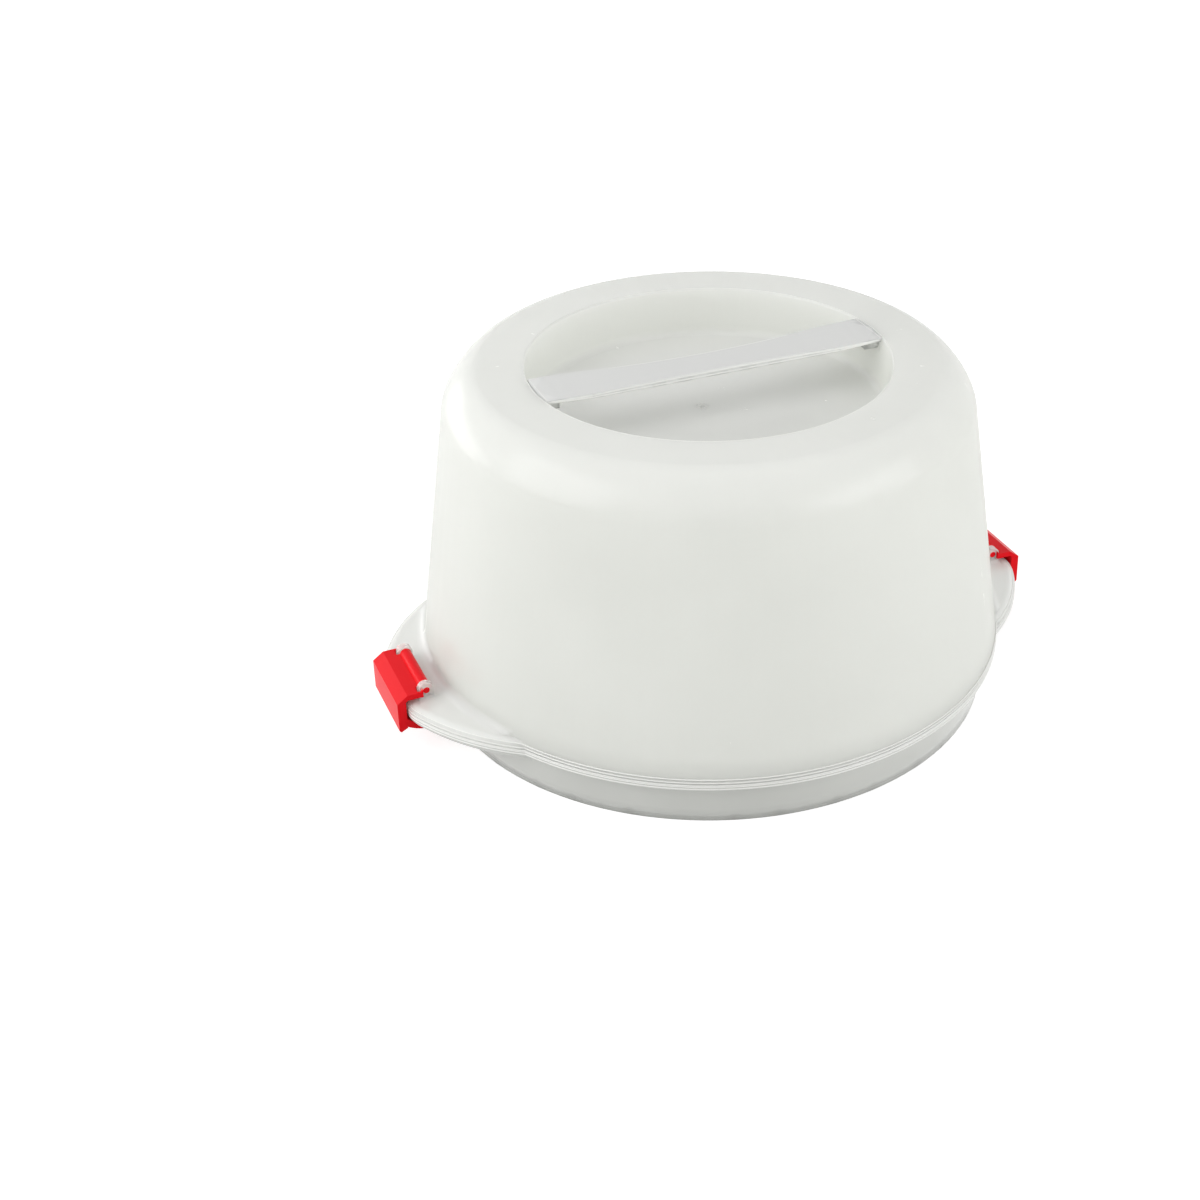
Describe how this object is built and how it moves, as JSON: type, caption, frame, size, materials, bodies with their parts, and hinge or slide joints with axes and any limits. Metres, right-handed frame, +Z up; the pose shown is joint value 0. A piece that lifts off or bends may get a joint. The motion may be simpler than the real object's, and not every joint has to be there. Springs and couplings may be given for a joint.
{
  "type": "cake carrier",
  "caption": "Round cake carrier: shallow tray with two ears, translucent lift-off dome with a sunk well and grip bar, and two red swing latches on the lid's ears",
  "frame": {"origin": "centre of the table face under the tray", "axes": "+Z up, X through the two ears and latches, Y across"},
  "size_m": [0.385, 0.3276, 0.19],
  "materials": {
    "white_pp": "smooth moulded polypropylene, satin to glossy",
    "clear_pp": "translucent moulded polypropylene, smooth and slightly milky",
    "red_pp": "smooth moulded polypropylene"
  },
  "bodies": {
    "tray": {"base_tray": "white_pp"},
    "lid": {"lid_dome": "clear_pp", "grip_bar": "clear_pp"},
    "latch_l": {"latch_left": "red_pp"},
    "latch_r": {"latch_right": "red_pp"}
  },
  "joints": [
    {"name": "lid_lift", "type": "slide", "parent": "tray", "child": "lid", "axis": [0, 0, 1], "range_m": [0, 0.2]},
    {"name": "latch_left_swing", "type": "hinge", "parent": "lid", "child": "latch_l", "pos_m": [-0.1755, 0, 0.0378], "axis": [0, 1, 0], "range_deg": [0, 110]},
    {"name": "latch_right_swing", "type": "hinge", "parent": "lid", "child": "latch_r", "pos_m": [0.1755, 0, 0.0378], "axis": [0, -1, 0], "range_deg": [0, 110]}
  ]
}
